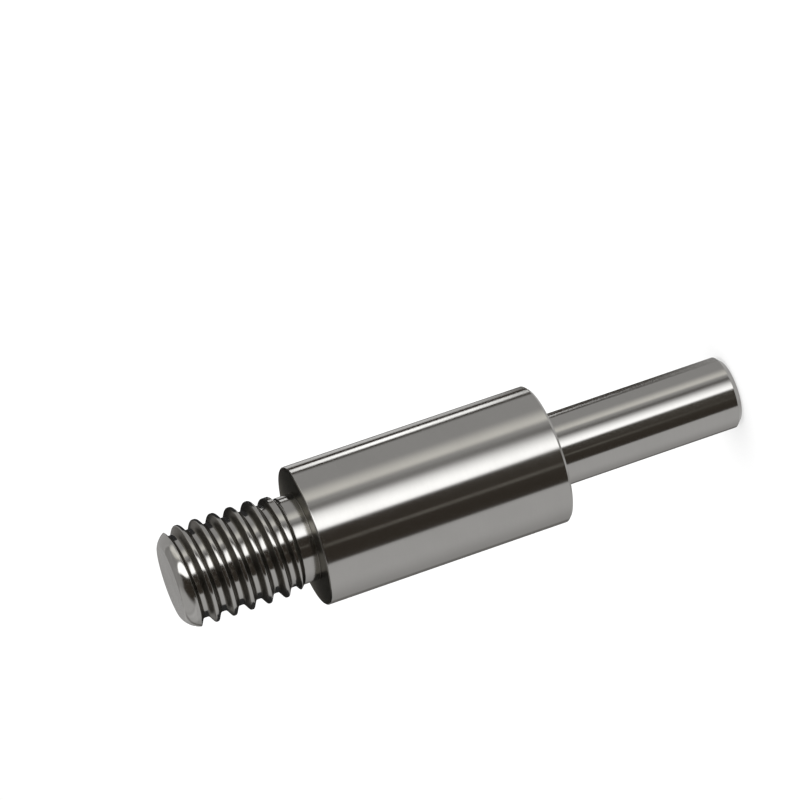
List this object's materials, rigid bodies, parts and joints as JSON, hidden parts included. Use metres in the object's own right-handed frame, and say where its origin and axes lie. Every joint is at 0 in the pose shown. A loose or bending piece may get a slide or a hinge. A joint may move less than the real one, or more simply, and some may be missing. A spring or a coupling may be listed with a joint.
{
  "type": "threaded shaft",
  "caption": "Stepped steel shaft turned from one bar: plain pin, larger ground body, narrow neck and a coarse screw thread with a rounded end.",
  "frame": {"origin": "centre of the flat on the pin's free end, which the shaft stands on", "axes": "+Z along the shaft's axis, from the pin's free end towards the threaded end"},
  "size_m": [0.011, 0.011, 0.0462],
  "materials": {
    "steel": "fine ground and polished round the axis, thread left as cut"
  },
  "bodies": {
    "root": {"shaft": "steel"}
  },
  "joints": []
}
